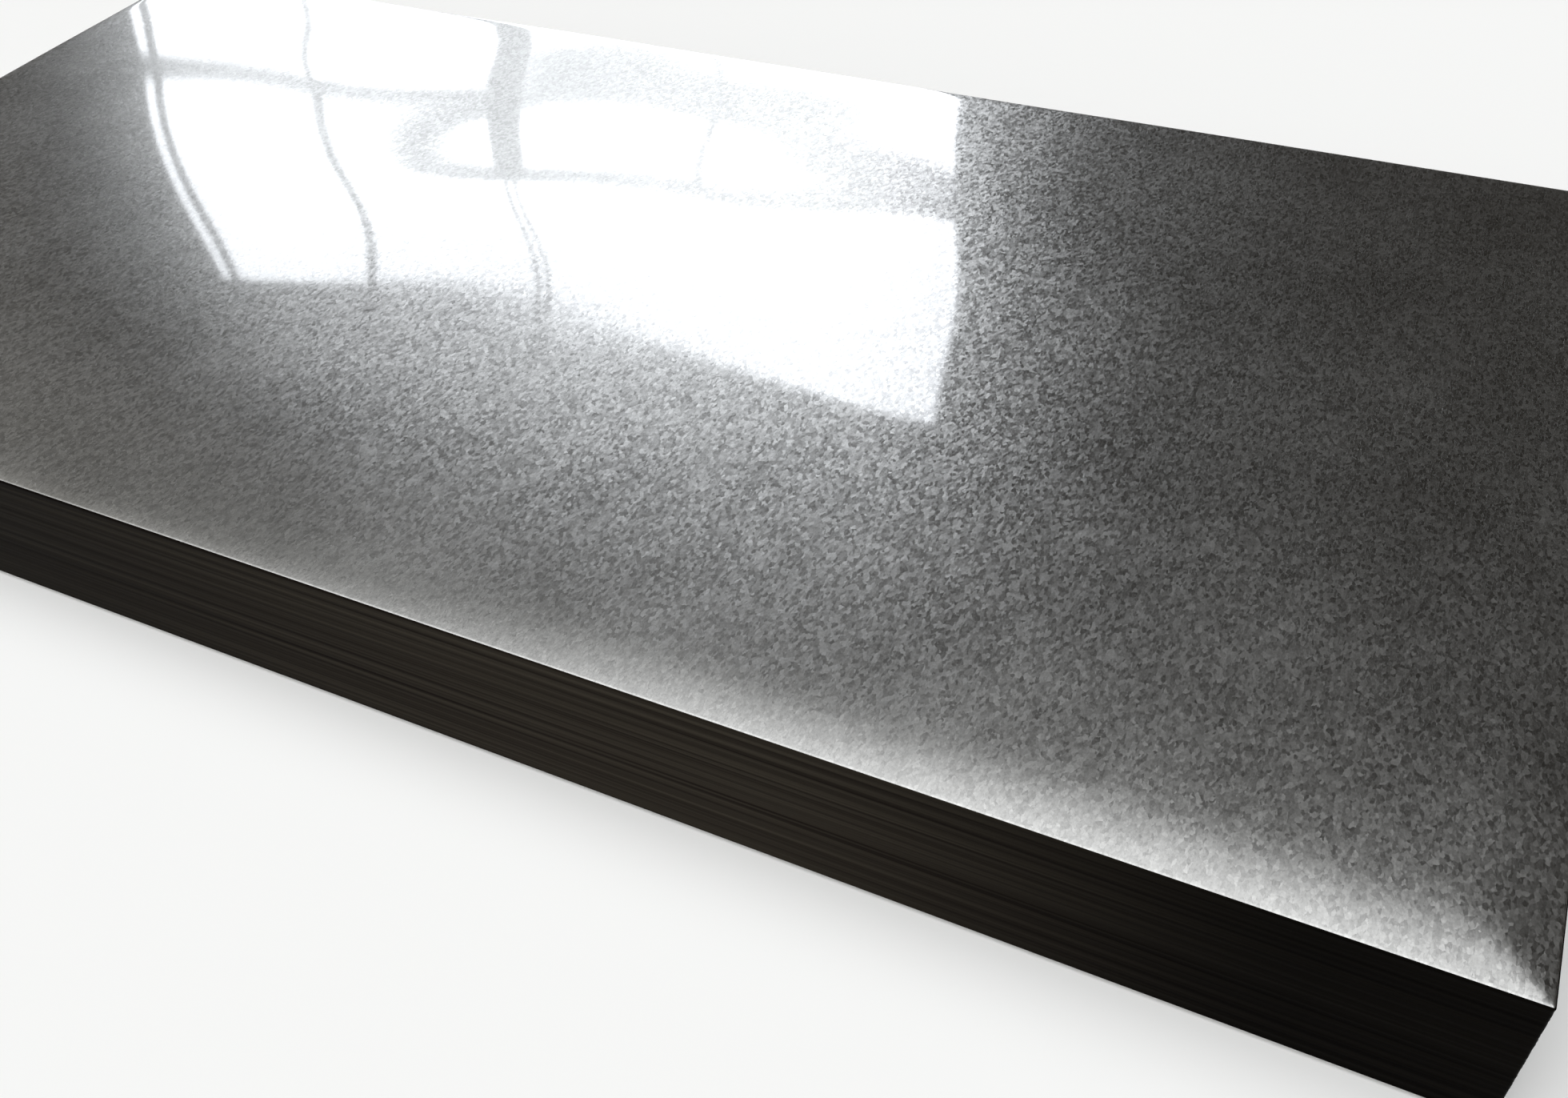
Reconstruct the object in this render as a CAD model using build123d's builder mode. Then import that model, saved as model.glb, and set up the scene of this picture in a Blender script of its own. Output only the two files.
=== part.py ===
import os

from build123d import *

os.makedirs("parts", exist_ok=True)

# Plan and thickness of the plate
plate_length = 2000.0
plate_width = 1000.0
plate_thickness = 160.0

# Top and underside roll off a little towards every edge
roll_off_width = 60.0
roll_off_depth = 4.0

# Edges eased by shearing and handling
edge_radius = 2.0
corner_radius = 3.0

# Upright planes through the middle of the plate, at half its thickness
half_thickness = plate_thickness / 2
cross_plane = Plane.YZ.shift_origin((0, 0, half_thickness))
long_plane = Plane.XZ.shift_origin((0, 0, half_thickness))


# Outline of the plate cut straight through, drawn about its centre
def section_outline(span):
    flat_end = (span / 2 - roll_off_width, half_thickness)
    edge_top = (span / 2, half_thickness - roll_off_depth)
    with BuildSketch(mode=Mode.PRIVATE) as outline:
        with BuildLine():
            Line((0, half_thickness), flat_end)
            TangentArc(flat_end, edge_top, tangent=(1, 0))
            Line(edge_top, (span / 2, 0))
            mirror(about=Plane.XZ)
            mirror(about=Plane.YZ)
        make_face()
        rows = outline.vertices().group_by(Axis.Y)
        fillet(rows[1] + rows[-2], radius=edge_radius)
    return outline.sketch


# The plate is what its plan, its cross section and its long section share
with BuildPart() as steel_plate:
    with BuildSketch(Plane.XY):
        RectangleRounded(plate_length, plate_width, corner_radius)
    extrude(amount=plate_thickness)
    with BuildSketch(cross_plane):
        add(section_outline(plate_width))
    extrude(amount=plate_length / 2, both=True, mode=Mode.INTERSECT)
    with BuildSketch(long_plane):
        add(section_outline(plate_length))
    extrude(amount=plate_width / 2, both=True, mode=Mode.INTERSECT)

steel_plate.part.label = "steel_plate"
export_step(steel_plate.part, "parts/steel_plate.step")
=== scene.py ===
import math

import bpy
import numpy as np
from mathutils import Matrix, Vector


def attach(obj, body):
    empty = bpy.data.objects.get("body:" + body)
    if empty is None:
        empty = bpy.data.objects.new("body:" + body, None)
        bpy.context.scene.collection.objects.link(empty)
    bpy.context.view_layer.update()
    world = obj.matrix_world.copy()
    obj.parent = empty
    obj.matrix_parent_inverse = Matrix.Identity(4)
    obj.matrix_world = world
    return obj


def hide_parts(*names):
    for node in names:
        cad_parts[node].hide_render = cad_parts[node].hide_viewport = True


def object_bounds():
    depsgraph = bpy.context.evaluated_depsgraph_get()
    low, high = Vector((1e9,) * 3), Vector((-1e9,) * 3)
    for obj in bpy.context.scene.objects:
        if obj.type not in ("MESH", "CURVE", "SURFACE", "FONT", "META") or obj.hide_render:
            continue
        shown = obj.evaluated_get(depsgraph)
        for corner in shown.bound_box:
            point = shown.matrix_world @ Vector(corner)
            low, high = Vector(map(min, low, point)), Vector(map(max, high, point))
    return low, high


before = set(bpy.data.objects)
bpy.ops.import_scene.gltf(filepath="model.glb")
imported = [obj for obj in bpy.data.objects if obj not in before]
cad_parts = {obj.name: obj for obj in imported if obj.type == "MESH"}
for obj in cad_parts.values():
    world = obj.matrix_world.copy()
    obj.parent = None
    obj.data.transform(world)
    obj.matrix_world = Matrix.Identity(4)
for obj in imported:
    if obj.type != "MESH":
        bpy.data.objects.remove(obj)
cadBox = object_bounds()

scene = bpy.context.scene
scene.view_settings.view_transform = "Standard"
mm = 0.001
boxLow, boxHigh = cadBox
boxCentre = (boxLow + boxHigh) / 2
halfSize = (boxHigh - boxLow) / 2
middleOfNoise = (0.5, 0.5, 0.5)    # noise and random colours run from 0 to 1
print("frame loaded, plate", [round(v, 4) for v in (boxHigh - boxLow)])


# sRGB hex to linear colour: below 0.04045 a straight line, above it a power of 2.4
def hexColour(code):
    srgb = np.array([int(code[i:i + 2], 16) for i in (1, 3, 5)]) / 255
    linear = np.where(srgb <= 0.04045, srgb / 12.92, ((srgb + 0.055) / 1.055) ** 2.4)
    return (*linear.tolist(), 1.0)


# One node with its settings, input values and links
def addNode(tree, kind, values=None, links=None, **settings):
    node = tree.nodes.new(kind)
    for name, value in settings.items():
        setattr(node, name, value)
    for name, value in (values or {}).items():
        node.inputs[name].default_value = value
    for name, socket in (links or {}).items():
        tree.links.new(socket, node.inputs[name])
    return node


# A material with nothing in it but its output
def newMaterial(name):
    material = bpy.data.materials.new(name)
    material.use_nodes = True
    tree = material.node_tree
    tree.nodes.clear()
    output = tree.nodes.new("ShaderNodeOutputMaterial")
    return material, tree, output


zincLook = {
    "darkZinc": "#858583",
    "lightZinc": "#ADADAB",
    "crystalSize": 4.0 * mm,         # one zinc crystal of the spangle
    "stretch": (0.68, 1.15, 1.0),    # the crystals are longer across the plate than along it
    "rimSize": 4.0 * mm,             # how far apart the bends of a crystal's ragged rim are
    "rimSway": 2.0 * mm,             # how far the rim strays
    "pitSize": 2.4 * mm,             # dull specks between the crystals
    "pitShare": 0.6,                 # what they have in the grain, beside the crystals' own shades
    "cloudSize": 160 * mm,           # slow changes left by the bath
    "cloudShare": 0.25,              # what they have in the colour, beside the grain
    "noiseRoughness": 0.6,
    "toneRange": (0.3, 0.7),         # mixed shades that get the dark and the light colour
    "crystalTilt": 0.03,             # steepest lean of a crystal's face, as a slope
    "roughness": 0.32,
    "roughnessSpread": 0.08,
    "dullCloudShare": 0.6,           # what the clouds have in the roughness, beside the crystals
    "dullRange": (0.2, 0.8),         # mixed shades that get the least and the most roughness
    "filmRoughness": 0.05,
    "filmIor": 2.0,                  # zinc oxide
}


# Hot-dip zinc on rolled steel under its thin clear oxide film: the crystals scatter a grainy grey haze,
# and the film over them gives one crisp image of a lamp
def hotDipZinc(look):
    material, tree, output = newMaterial("hotDipZincSpangle")
    place = addNode(tree, "ShaderNodeTexCoord").outputs["Object"]
    stretched = addNode(tree, "ShaderNodeVectorMath", {1: look["stretch"]}, {0: place}, operation="DIVIDE")
    drawn = stretched.outputs[0]
    # ragged crystals: cells looked up at a place that noise has pushed about
    push = addNode(tree, "ShaderNodeTexNoise", {"Scale": 1 / look["rimSize"], "Detail": 1.0},
                   {"Vector": drawn})
    centred = addNode(tree, "ShaderNodeVectorMath", {1: middleOfNoise}, {0: push.outputs["Color"]},
                      operation="SUBTRACT")
    strayed = addNode(tree, "ShaderNodeVectorMath", {1: (2 * look["rimSway"],) * 3},
                      {0: centred.outputs[0], 2: drawn}, operation="MULTIPLY_ADD")
    crystals = addNode(tree, "ShaderNodeTexVoronoi", {"Scale": 1 / look["crystalSize"]},
                       {"Vector": strayed.outputs[0]})
    pits = addNode(tree, "ShaderNodeTexNoise",
                   {"Scale": 1 / look["pitSize"], "Detail": 2.0, "Roughness": look["noiseRoughness"]},
                   {"Vector": drawn})
    clouds = addNode(tree, "ShaderNodeTexNoise",
                     {"Scale": 1 / look["cloudSize"], "Detail": 3.0, "Roughness": look["noiseRoughness"]},
                     {"Vector": place})
    channels = addNode(tree, "ShaderNodeSeparateColor", links={"Color": crystals.outputs["Color"]})
    shade = channels.outputs["Red"]
    # colour: crystals and pits, under slow clouds
    grain = addNode(tree, "ShaderNodeMix", {"Factor": look["pitShare"]}, {2: shade, 3: pits.outputs["Fac"]},
                    data_type="FLOAT")
    mottle = addNode(tree, "ShaderNodeMix", {"Factor": look["cloudShare"]},
                     {2: grain.outputs[0], 3: clouds.outputs["Fac"]}, data_type="FLOAT")
    tone = addNode(tree, "ShaderNodeMapRange",
                   {"From Min": look["toneRange"][0], "From Max": look["toneRange"][1]},
                   {"Value": mottle.outputs[0]})
    colour = addNode(tree, "ShaderNodeMix",
                     {6: hexColour(look["darkZinc"]), 7: hexColour(look["lightZinc"])},
                     {"Factor": tone.outputs["Result"]}, data_type="RGBA")
    # roughness: some crystals and some clouds are duller than others
    dullness = addNode(tree, "ShaderNodeMix", {"Factor": look["dullCloudShare"]},
                       {2: shade, 3: clouds.outputs["Fac"]}, data_type="FLOAT")
    rough = addNode(tree, "ShaderNodeMapRange",
                    {"From Min": look["dullRange"][0], "From Max": look["dullRange"][1],
                     "To Min": look["roughness"] - look["roughnessSpread"] / 2,
                     "To Max": look["roughness"] + look["roughnessSpread"] / 2},
                    {"Value": dullness.outputs[0]})
    # each crystal is a flat face with a lean of its own: its height is its offset times a random slope
    offset = addNode(tree, "ShaderNodeVectorMath",
                     links={0: strayed.outputs[0], 1: crystals.outputs["Position"]}, operation="SUBTRACT")
    lean = addNode(tree, "ShaderNodeVectorMath", {1: middleOfNoise}, {0: crystals.outputs["Color"]},
                   operation="SUBTRACT")
    height = addNode(tree, "ShaderNodeVectorMath", links={0: offset.outputs[0], 1: lean.outputs[0]},
                     operation="DOT_PRODUCT")
    bump = addNode(tree, "ShaderNodeBump", {"Strength": 1.0, "Distance": 2 * look["crystalTilt"]},
                   {"Height": height.outputs["Value"]})
    shader = addNode(tree, "ShaderNodeBsdfPrincipled",
                     {"Metallic": 1.0, "Coat Weight": 1.0, "Coat Roughness": look["filmRoughness"],
                      "Coat IOR": look["filmIor"]},
                     {"Base Color": colour.outputs[2], "Roughness": rough.outputs["Result"],
                      "Normal": bump.outputs["Normal"]})
    tree.links.new(shader.outputs["BSDF"], output.inputs["Surface"])
    return material


sideLook = {
    "darkStreak": "#110C09",
    "lightStreak": "#35312A",
    "streakHeight": 4.5 * mm,
    "streakLength": 1300 * mm,
    "streakRoughness": 0.65,
    "toneRange": (0.3, 0.7),         # noise that gets the dark and the light streak
    "leftShadeSpan": (-0.45, 0.35),        # places along X where the painted shade on the left is full and gone
    "leftShade": 0.38,               # what the full painted shade leaves of the colour
    "rightWay": (1.0, -0.5, 0.0),    # way to the near right corner, where the painted shade is darkest
    "rightShadeSpan": (0.67, 1.13),        # places along that way where the painted shade on the right starts and is full
    "rightShade": 0.12,
    "bumpDepth": 0.3 * mm,
    "bumpStrength": 0.4,
    "roughness": 0.42,
    "specular": 0.007,
}


# Cut side of the plate, oxidised and oiled nearly black: fine lines along it, hardly any shine, and painted
# shade that darkens it towards both ends
def oiledSideWithPaintedShade(look):
    material, tree, output = newMaterial("oiledCutSteelSidePaintedShade")
    place = addNode(tree, "ShaderNodeTexCoord").outputs["Object"]
    across = 1 / look["streakLength"]
    drawn = addNode(tree, "ShaderNodeMapping", {"Scale": (across, across, 1 / look["streakHeight"])},
                    {"Vector": place})
    streaks = addNode(tree, "ShaderNodeTexNoise",
                      {"Scale": 1.0, "Detail": 3.0, "Roughness": look["streakRoughness"]},
                      {"Vector": drawn.outputs["Vector"]})
    tone = addNode(tree, "ShaderNodeMapRange",
                   {"From Min": look["toneRange"][0], "From Max": look["toneRange"][1]},
                   {"Value": streaks.outputs["Fac"]})
    colour = addNode(tree, "ShaderNodeMix",
                     {6: hexColour(look["darkStreak"]), 7: hexColour(look["lightStreak"])},
                     {"Factor": tone.outputs["Result"]}, data_type="RGBA")
    # painted shade darkens the lines towards both ends, most at the near right corner, without hiding them
    parts = addNode(tree, "ShaderNodeSeparateXYZ", links={"Vector": place})
    left = addNode(tree, "ShaderNodeMapRange",
                   {"From Min": look["leftShadeSpan"][0], "From Max": look["leftShadeSpan"][1],
                    "To Min": look["leftShade"], "To Max": 1.0},
                   {"Value": parts.outputs["X"]}, interpolation_type="SMOOTHSTEP")
    corner = addNode(tree, "ShaderNodeVectorMath", {1: look["rightWay"]}, {0: place},
                     operation="DOT_PRODUCT")
    right = addNode(tree, "ShaderNodeMapRange",
                    {"From Min": look["rightShadeSpan"][0], "From Max": look["rightShadeSpan"][1],
                     "To Min": 1.0, "To Max": look["rightShade"]},
                    {"Value": corner.outputs["Value"]}, interpolation_type="SMOOTHSTEP")
    shade = addNode(tree, "ShaderNodeMath", links={0: left.outputs["Result"], 1: right.outputs["Result"]},
                    operation="MULTIPLY")
    # the streak colour times the painted shade
    shadedColour = addNode(tree, "ShaderNodeVectorMath", links={0: colour.outputs[2], "Scale": shade.outputs[0]},
                    operation="SCALE")
    bump = addNode(tree, "ShaderNodeBump", {"Strength": look["bumpStrength"], "Distance": look["bumpDepth"]},
                   {"Height": streaks.outputs["Fac"]})
    shader = addNode(tree, "ShaderNodeBsdfPrincipled",
                     {"Roughness": look["roughness"], "Specular IOR Level": look["specular"]},
                     {"Base Color": shadedColour.outputs[0], "Normal": bump.outputs["Normal"]})
    tree.links.new(shader.outputs["BSDF"], output.inputs["Surface"])
    return material


plateLook = {
    "rollOffWidth": 60 * mm,
    "rollOffDepth": 4.0 * mm,
    "droopWidth": 160 * mm,       # the rolled top falls away a little more slowly further in
    "droopDepth": 2.0 * mm,
    "backShare": 0.15,            # width and depth of the back's roll-off, as a share of the front's
    "backFrom": (-0.20, 0.30),    # places along Y where the back's narrow edge starts and is reached
    "edgeRadius": 2.0 * mm,
    "cornerRadius": 3.0 * mm,
    "cutMargin": 1.0 * mm,        # width of the edge's rounding that has no zinc
    "gridStep": 12 * mm,
    "nearEdge": np.array([0, 0.15, 0.6, 1.2, 2, 3, 6, 10, 16, 24, 32, 40, 50, 60]) * mm,
    "topLevel": -3.5 * mm,        # level of the top without its waves, from the lid of the CAD box
    "waveFade": 60 * mm,          # the waves die out this far from the edges, but run on to the back one
    "sideRows": 80,
    "lineDepth": 0.30 * mm,
    "lineSway": 0.7 * mm,
    "swayLengths": (0.9, 0.37),   # the lines sway in two waves along the side
    "swayShare": 0.6,             # height of the shorter one, as a share of the longer one's
    "swayLag": 1.0,               # how far it is ahead, in radians
    "seed": 7,
}
# flatness waves of the top: height, wavelength, heading in degrees from +X, place of a crest,
# and how far they spread from it along X and Y
topWaves = [
    {"height": 4.05 * mm, "length": 0.890, "heading": 90,
     "crest": (-0.295, -0.143), "spread": (0.420, 0.600)},
    {"height": 0.82 * mm, "length": 0.570, "heading": 10,
     "crest": (-0.735, 0.040), "spread": (0.650, 0.280)},
    {"height": -1.15 * mm, "length": 0.381, "heading": 73.3,
     "crest": (0.345, 0.063), "spread": (0.133, 0.650)},
    {"height": 7.40 * mm, "length": 0.322, "heading": 99,
     "crest": (-0.096, 0.323), "spread": (0.283, 0.086)},
    {"height": -5.85 * mm, "length": 0.275, "heading": 97.8,
     "crest": (-0.093, 0.323), "spread": (0.255, 0.097)},
    {"height": 2.72 * mm, "length": 0.481, "heading": 90,
     "crest": (0.014, 0.116), "spread": (0.342, 0.440)},
    {"height": -1.05 * mm, "length": 0.525, "heading": 125,
     "crest": (-0.300, 0.180), "spread": (0.143, 0.420)},
]


# Lines across a span: set distances from both ends, even steps between
def spreadLines(half, nearEdge, step):
    inner = half - nearEdge[-1]
    middle = np.linspace(-inner, inner, int(round(2 * inner / step)) + 1)
    return np.concatenate([nearEdge[:-1] - half, middle, half - nearEdge[-2::-1]])


# Sum of cosine waves, each under a bell that fades with the distance from its crest
def waveHeight(x, y, waves):
    total = np.zeros_like(x)
    for wave in waves:
        turn = math.radians(wave["heading"])
        along = (x - wave["crest"][0]) * math.cos(turn) + (y - wave["crest"][1]) * math.sin(turn)
        bell = np.exp(-((x - wave["crest"][0]) / wave["spread"][0]) ** 2 / 2
                      - ((y - wave["crest"][1]) / wave["spread"][1]) ** 2 / 2)
        total += wave["height"] * bell * np.cos(2 * np.pi * along / wave["length"])
    return total


# Square corners of a grid eased to quarter circles: each of the two shares shrinks as the other grows
def roundCorners(x, y, half, radius):
    a = np.clip((np.abs(x) - half.x + radius) / radius, 0, 1)
    b = np.clip((np.abs(y) - half.y + radius) / radius, 0, 1)
    inCorner = (a > 0) & (b > 0)
    eased = [np.where(inCorner, s - radius + radius * p * np.sqrt(1 - q * q / 2), np.abs(v))
             for s, v, p, q in ((half.x, x, a, b), (half.y, y, b, a))]
    return np.sign(x) * eased[0], np.sign(y) * eased[1]


# Distance in from the outline of a rectangle with rounded corners: the radius less the distance from
# a smaller rectangle, which is below zero inside it
def edgeDistance(x, y, half, radius):
    qx, qy = np.abs(x) - half.x + radius, np.abs(y) - half.y + radius
    outside = np.hypot(np.maximum(qx, 0), np.maximum(qy, 0)) + np.minimum(np.maximum(qx, qy), 0)
    return np.maximum(radius - outside, 0)


# Smooth step from 0 to 1: three times the square less twice the cube
def smoothStep(value, low, high):
    t = np.clip((value - low) / (high - low), 0, 1)
    return t * t * (3 - 2 * t)


# How far a face falls near the edge: a parabola for the roll-off, then a quarter circle
def edgeDrop(distance, share, look):
    roll = look["rollOffDepth"] * share * np.clip(1 - distance / (look["rollOffWidth"] * share), 0, 1) ** 2
    left = np.clip(look["edgeRadius"] - distance, 0, look["edgeRadius"])
    return roll + look["edgeRadius"] - np.sqrt(look["edgeRadius"] ** 2 - left ** 2)


# Heights of the top and the underside: level, less the fall at the edges, and on top the waves as well
def faceHeights(y, inward, swell, look):
    front = 1 - smoothStep(y, *look["backFrom"])
    drop = edgeDrop(inward, front + (1 - front) * look["backShare"], look)
    swell = swell * (1 - front + front * smoothStep(inward, 0, look["waveFade"]))
    droop = look["droopDepth"] * front * np.clip(1 - inward / look["droopWidth"], 0, 1) ** 2
    print("top waves from", round(float(swell.min()) / mm, 2), "to", round(float(swell.max()) / mm, 2), "mm")
    return boxHigh.z + look["topLevel"] - drop - droop + swell, boxLow.z + drop


# The side is a profile of fine lines carried round the ring: each row is set in by a random depth,
# and its height sways along the ring, most at mid-height
def sidePoints(ringX, ringY, edgeTop, edgeLow, look):
    tangentX = np.roll(ringX, -1) - np.roll(ringX, 1)
    tangentY = np.roll(ringY, -1) - np.roll(ringY, 1)
    size = np.hypot(tangentX, tangentY)
    outX, outY = tangentY / size, -tangentX / size
    rows = look["sideRows"]
    share = np.arange(1, rows)[:, None] / rows
    rng = np.random.default_rng(look["seed"])
    depth = look["lineDepth"] * rng.random((rows - 1, 1))
    along = np.cumsum(np.hypot(np.diff(ringX, prepend=ringX[-1]), np.diff(ringY, prepend=ringY[-1])))
    longSway, shortSway = (2 * np.pi * along / length for length in look["swayLengths"])
    sway = look["lineSway"] * (np.sin(longSway) + look["swayShare"] * np.sin(shortSway + look["swayLag"]))
    sideZ = edgeTop + (edgeLow - edgeTop) * share + sway * np.sin(np.pi * share)
    return np.stack([ringX - outX * depth, ringY - outY * depth, sideZ], -1)


# Quads between neighbouring rows of an index grid
def gridQuads(index):
    corners = [index[:-1, :-1], index[1:, :-1], index[1:, 1:], index[:-1, 1:]]
    return np.stack(corners, axis=-1).reshape(-1, 4)


# The plate is one closed surface: a grid for the top, one for the underside and bands round the side
def makePlate(look, waves):
    lineX = spreadLines(halfSize.x, look["nearEdge"], look["gridStep"])
    lineY = spreadLines(halfSize.y, look["nearEdge"], look["gridStep"])
    x, y = roundCorners(*np.meshgrid(lineX, lineY, indexing="ij"), halfSize, look["cornerRadius"])
    inward = edgeDistance(x, y, halfSize, look["cornerRadius"])
    topZ, lowZ = faceHeights(y, inward, waveHeight(x, y, waves), look)
    # index grids of the two faces and the ring of points round each
    count = x.size
    topIndex = np.arange(count).reshape(x.shape)
    lowIndex = topIndex + count
    ring = np.concatenate([topIndex[:-1, 0], topIndex[-1, :-1], topIndex[:0:-1, -1], topIndex[0, :0:-1]])
    side = sidePoints(*(values.ravel()[ring] for values in (x, y, topZ, lowZ)), look)
    sideIndex = 2 * count + np.arange(side.shape[0] * side.shape[1]).reshape(side.shape[:2])
    bands = np.vstack([ring[None], sideIndex, ring[None] + count])
    bands = np.hstack([bands, bands[:, :1]])
    grids = [np.stack([x, y, topZ], -1), np.stack([x, y, lowZ], -1), side]
    points = np.vstack([grid.reshape(-1, 3) for grid in grids])
    points[:, :2] += [boxCentre.x, boxCentre.y]
    faceQuads = np.vstack([gridQuads(topIndex), gridQuads(lowIndex)[:, ::-1]])
    quads = np.vstack([faceQuads, gridQuads(bands)])
    mesh = bpy.data.meshes.new("galvanisedPlate")
    mesh.from_pydata(points.tolist(), [], quads.tolist())
    # the zinc stops part of the way round the edge, where the plate was cut
    margin = np.concatenate([inward.ravel()] * 2)[faceQuads].mean(axis=1)
    slots = np.ones(len(quads), dtype=np.int32)
    slots[:len(faceQuads)] = margin < look["cutMargin"]
    mesh.materials.append(hotDipZinc(zincLook))
    mesh.materials.append(oiledSideWithPaintedShade(sideLook))
    mesh.polygons.foreach_set("material_index", slots)
    mesh.polygons.foreach_set("use_smooth", np.ones(len(quads), dtype=bool))
    mesh.update()
    piece = bpy.data.objects.new("galvanised_plate", mesh)
    scene.collection.objects.link(piece)
    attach(piece, "root")
    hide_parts("steel_plate")
    print("plate surface:", len(points), "points,", 2 * len(quads), "triangles")
    return piece


plate = makePlate(plateLook, topWaves)


floorLook = {"size": 60.0, "colour": "#F3F3F2", "roughness": 0.9, "specular": 0.1}


def makeFloor(look):
    half = look["size"] / 2
    corners = [(-half, -half), (half, -half), (half, half), (-half, half)]
    mesh = bpy.data.meshes.new("paleFloor")
    mesh.from_pydata([(x, y, boxLow.z) for x, y in corners], [], [(0, 1, 2, 3)])
    material, tree, output = newMaterial("paleStudioFloor")
    shader = addNode(tree, "ShaderNodeBsdfPrincipled",
                     {"Base Color": hexColour(look["colour"]), "Roughness": look["roughness"],
                      "Specular IOR Level": look["specular"]})
    tree.links.new(shader.outputs["BSDF"], output.inputs["Surface"])
    mesh.materials.append(material)
    floor = bpy.data.objects.new("pale_floor", mesh)
    scene.collection.objects.link(floor)
    print("floor set")


makeFloor(floorLook)


# Bank of soft panels beyond the far side of the plate, in two rows of upright columns
panelLook = {
    "facing": 93.5,             # heading from the plate to the bank, in degrees from +X
    "distance": 4.0,
    "rows": [
        {"low": 0.40, "high": 2.215,
         "columns": [(0.78, 1.83), (1.87, 2.76), (2.94, 3.84), (3.88, 4.80), (4.86, 4.92)]},
        {"low": 2.32, "high": 3.47,
         "columns": [(0.78, 2.81), (2.835, 2.865), (2.89, 3.83), (3.89, 4.80), (4.86, 4.92)]},
    ],
    "colour": "#F5F9FF",
    "brightEnd": (1.30, 2.30),  # places along the bank between which the panels dim
    "radiance": (5.2, 4.1),     # before and after them
}


def makePanels(look, lit):
    # the panels light the plate alone, and the floor stays even
    litByPanels = bpy.data.collections.new("litByPanels")
    litByPanels.objects.link(lit)
    turn = math.radians(look["facing"])
    ahead = Vector((math.cos(turn), math.sin(turn), 0))
    aside = Vector((-ahead.y, ahead.x, 0))
    for number, row in enumerate(look["rows"]):
        for column, (near, far) in enumerate(row["columns"]):
            lamp = bpy.data.lights.new(f"panel_{number}_{column}", "AREA")
            lamp.shape = "RECTANGLE"
            lamp.size, lamp.size_y = far - near, row["high"] - row["low"]
            radiance = float(np.interp((near + far) / 2, look["brightEnd"], look["radiance"]))
            lamp.energy = radiance * math.pi * lamp.size * lamp.size_y
            lamp.color = hexColour(look["colour"])[:3]
            holder = bpy.data.objects.new(lamp.name, lamp)
            middle = (row["low"] + row["high"]) / 2
            holder.location = ahead * look["distance"] + aside * (near + far) / 2 + Vector((0, 0, middle))
            holder.rotation_mode = "QUATERNION"
            holder.rotation_quaternion = (-ahead).to_track_quat("-Z", "Y")
            holder.visible_camera = False
            holder.light_linking.receiver_collection = litByPanels
            scene.collection.objects.link(holder)
    print("panels:", sum(len(row["columns"]) for row in look["rows"]))


makePanels(panelLook, plate)


# Studio dome: a soft lamp overhead, grey on the camera's side, dim beyond the plate, pale along the skyline
domeLook = {
    "lampPlace": (-0.05, -0.20, 0.0),  # middle of the lamp, seen straight from above on a dome of radius 1
    "lampEdge": (0.45, 0.83),          # distances from there where the lamp starts to fade and is gone
    "lampColour": "#FDFEFF",
    "lampRadiance": 2.3,
    "greySide": (-0.54, -0.84, 0.0),
    "greyEdge": (-0.09, 0.51),         # shares of the way to greySide where the grey starts and is full
    "greyColour": "#C0BCB4",
    "dimColour": "#221C13",
    "skylineEdge": (0.09, 0.14),       # heights where the pale band starts to fade and is gone
    "skylineColour": "#EDEEEE",
}


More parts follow.
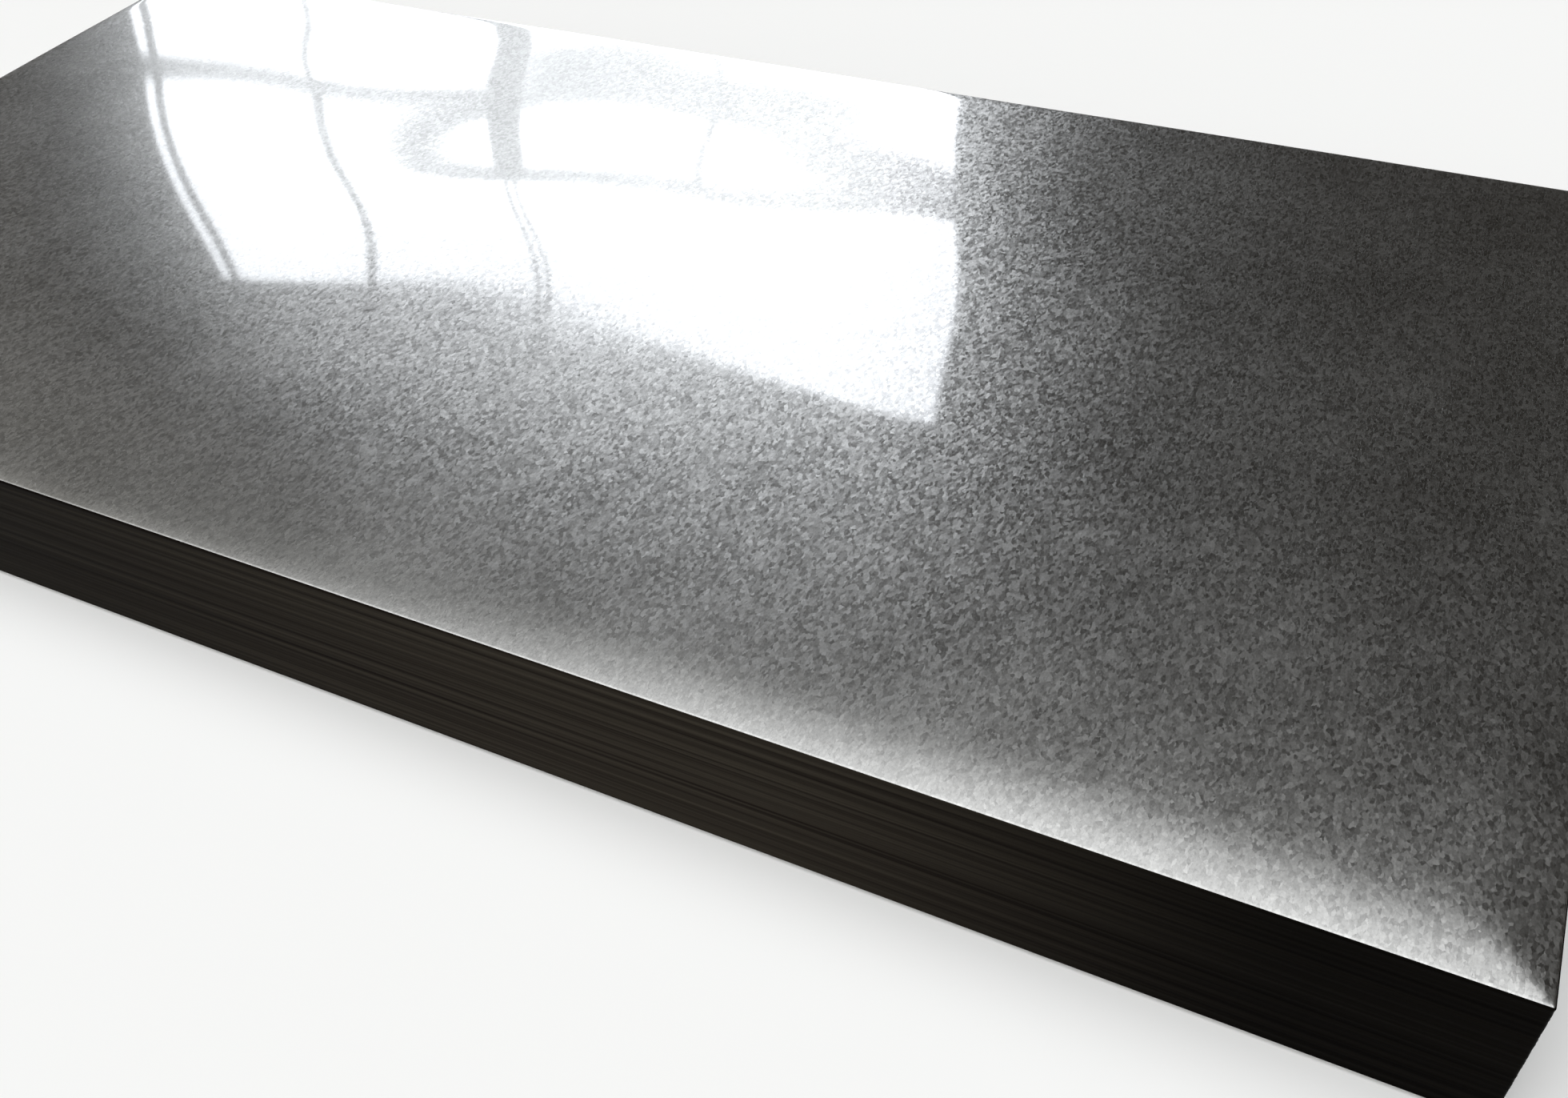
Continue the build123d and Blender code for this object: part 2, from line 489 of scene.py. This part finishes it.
def makeDome(look):
    world = bpy.data.worlds.new("studioDome")
    world.use_nodes = True
    scene.world = world
    tree = world.node_tree
    tree.nodes.clear()
    output = tree.nodes.new("ShaderNodeOutputWorld")
    way = addNode(tree, "ShaderNodeTexCoord").outputs["Generated"]
    parts = addNode(tree, "ShaderNodeSeparateXYZ", links={"Vector": way})
    towardsGrey = addNode(tree, "ShaderNodeVectorMath", {1: look["greySide"]}, {0: way},
                          operation="DOT_PRODUCT")
    flat = addNode(tree, "ShaderNodeVectorMath", {1: (1, 1, 0)}, {0: way}, operation="MULTIPLY")
    fromLamp = addNode(tree, "ShaderNodeVectorMath", {1: look["lampPlace"]}, {0: flat.outputs[0]},
                       operation="DISTANCE")
    lamp = [c * look["lampRadiance"] for c in hexColour(look["lampColour"])[:3]] + [1.0]
    # over the dim colour: the grey side, then the lamp, then the pale band low down
    layers = [(towardsGrey.outputs["Value"], look["greyEdge"], (0.0, 1.0), hexColour(look["greyColour"])),
              (fromLamp.outputs["Value"], look["lampEdge"], (1.0, 0.0), lamp),
              (parts.outputs["Z"], look["skylineEdge"], (1.0, 0.0), hexColour(look["skylineColour"]))]
    under = {}
    for value, edge, ends, colour in layers:
        share = addNode(tree, "ShaderNodeMapRange",
                        {"From Min": edge[0], "From Max": edge[1], "To Min": ends[0], "To Max": ends[1]},
                        {"Value": value}, interpolation_type="SMOOTHSTEP")
        layer = addNode(tree, "ShaderNodeMix", {6: hexColour(look["dimColour"]), 7: colour},
                        {"Factor": share.outputs["Result"], **under}, data_type="RGBA")
        under = {6: layer.outputs[2]}
    background = addNode(tree, "ShaderNodeBackground", {"Strength": 1.0}, {"Color": layer.outputs[2]})
    tree.links.new(background.outputs["Background"], output.inputs["Surface"])
    print("dome set")


makeDome(domeLook)


cameraLook = {
    "place": (0.8188, -1.0916, 0.9807),
    "heading": 118.67,      # degrees from +X
    "pitch": -42.96,
    "roll": -4.42,
    "lens": 33.63,
    "sensor": 36.0,
    "clipStart": 0.01,
}


def makeCamera(look):
    data = bpy.data.cameras.new("camera")
    data.sensor_fit = "HORIZONTAL"
    data.sensor_width = look["sensor"]
    data.lens = look["lens"]
    data.clip_start = look["clipStart"]
    camera = bpy.data.objects.new("camera", data)
    turn = Matrix.Rotation(math.radians(look["heading"] - 90), 4, "Z")
    tip = Matrix.Rotation(math.radians(90 + look["pitch"]), 4, "X")
    roll = Matrix.Rotation(math.radians(look["roll"]), 4, "Z")
    camera.matrix_world = Matrix.Translation(look["place"]) @ turn @ tip @ roll
    scene.collection.objects.link(camera)
    scene.camera = camera
    print("camera set")


makeCamera(cameraLook)
